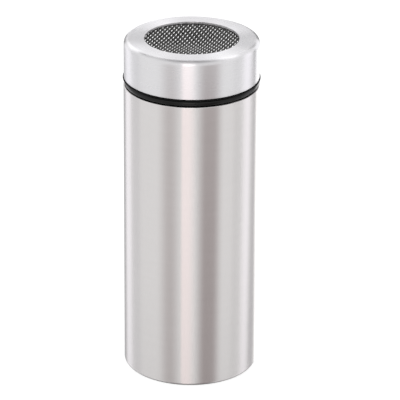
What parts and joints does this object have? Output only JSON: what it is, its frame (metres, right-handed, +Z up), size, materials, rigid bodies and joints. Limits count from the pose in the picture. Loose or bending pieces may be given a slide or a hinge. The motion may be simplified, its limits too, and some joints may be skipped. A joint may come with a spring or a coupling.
{
  "type": "powder shaker",
  "caption": "Slim cylindrical powder shaker in brushed steel, with a screw-on lid that holds a round woven wire sieve and a black seal ring under it.",
  "frame": {"origin": "centre of the foot ring, on the surface that the shaker stands on", "axes": "+Z up along the axis of the tube and the lid"},
  "size_m": [0.0556, 0.0556, 0.1425],
  "materials": {
    "body_steel": "brushed round the tube, satin",
    "lid_steel": "brushed round the lid, satin",
    "base_steel": "plain rolled sheet",
    "sieve_wire": "bright drawn wire",
    "black_plastic": "moulded, glossy",
    "black_silicone": "matt moulded silicone"
  },
  "bodies": {
    "body": {"body_tube": "body_steel", "base_pan": "base_steel", "neck_collar": "black_plastic", "neck_lip_ring": "black_silicone"},
    "gasket": {"lid_gasket": "black_silicone"},
    "lid": {"lid_shell": "lid_steel", "lid_insert": "black_plastic", "sieve_rim": "base_steel", "sieve_upper_wires": "sieve_wire", "sieve_lower_wires": "sieve_wire"}
  },
  "joints": [
    {"name": "lid_rise", "type": "slide", "parent": "body", "child": "gasket", "axis": [0, 0, 1], "range_m": [0, 0.012]},
    {"name": "lid_turn", "type": "hinge", "parent": "gasket", "child": "lid", "pos_m": [0, 0, 0.1343], "axis": [0, 0, 1], "range_deg": [0, 720]}
  ],
  "couplings": [
    {"joint": "lid_rise", "follows": "lid_turn", "m_per_rad": 0.00095492}
  ]
}
